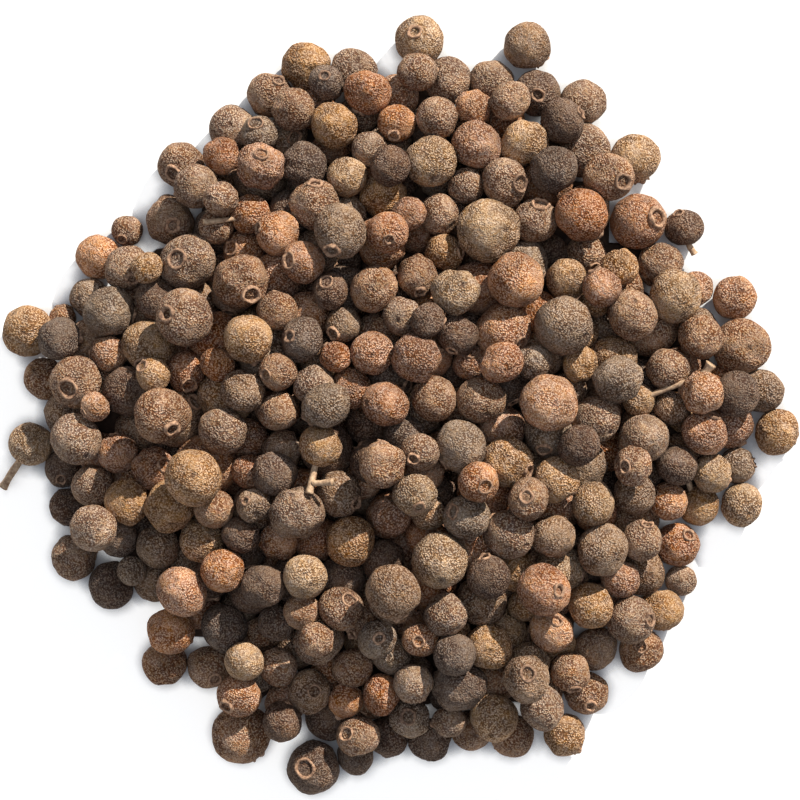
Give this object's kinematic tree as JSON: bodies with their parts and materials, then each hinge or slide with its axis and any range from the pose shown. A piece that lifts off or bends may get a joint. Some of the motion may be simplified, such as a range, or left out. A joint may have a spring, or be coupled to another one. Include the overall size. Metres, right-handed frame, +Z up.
{
  "type": "heap of whole allspice berries",
  "caption": "Low loose heap of whole dried allspice berries of uneven size, some with their calyx ring or a bit of stalk, lying on a flat surface.",
  "frame": {"origin": "on the surface that the heap lies on, under the middle of the heap", "axes": "+Z up, +Y towards the back of the heap as seen in the picture's upright view from above, +X to the right"},
  "size_m": [0.1111, 0.1073, 0.0225],
  "materials": {
    "berry_umber": "dried brown berry skin, rough with fine pale pimples",
    "berry_russet": "dried orange-brown berry skin, finely pimpled",
    "berry_tan": "dried pale tan berry skin, sandy with pale pimples",
    "berry_grey": "dried dark grey-brown berry skin, dusty and finely pimpled",
    "calyx": "dry pale brown calyx ring, thin and slightly curled",
    "stalk": "dry woody stalk, matt tan"
  },
  "bodies": {
    "root": {"berry_heap": "berry_umber"}
  },
  "joints": []
}
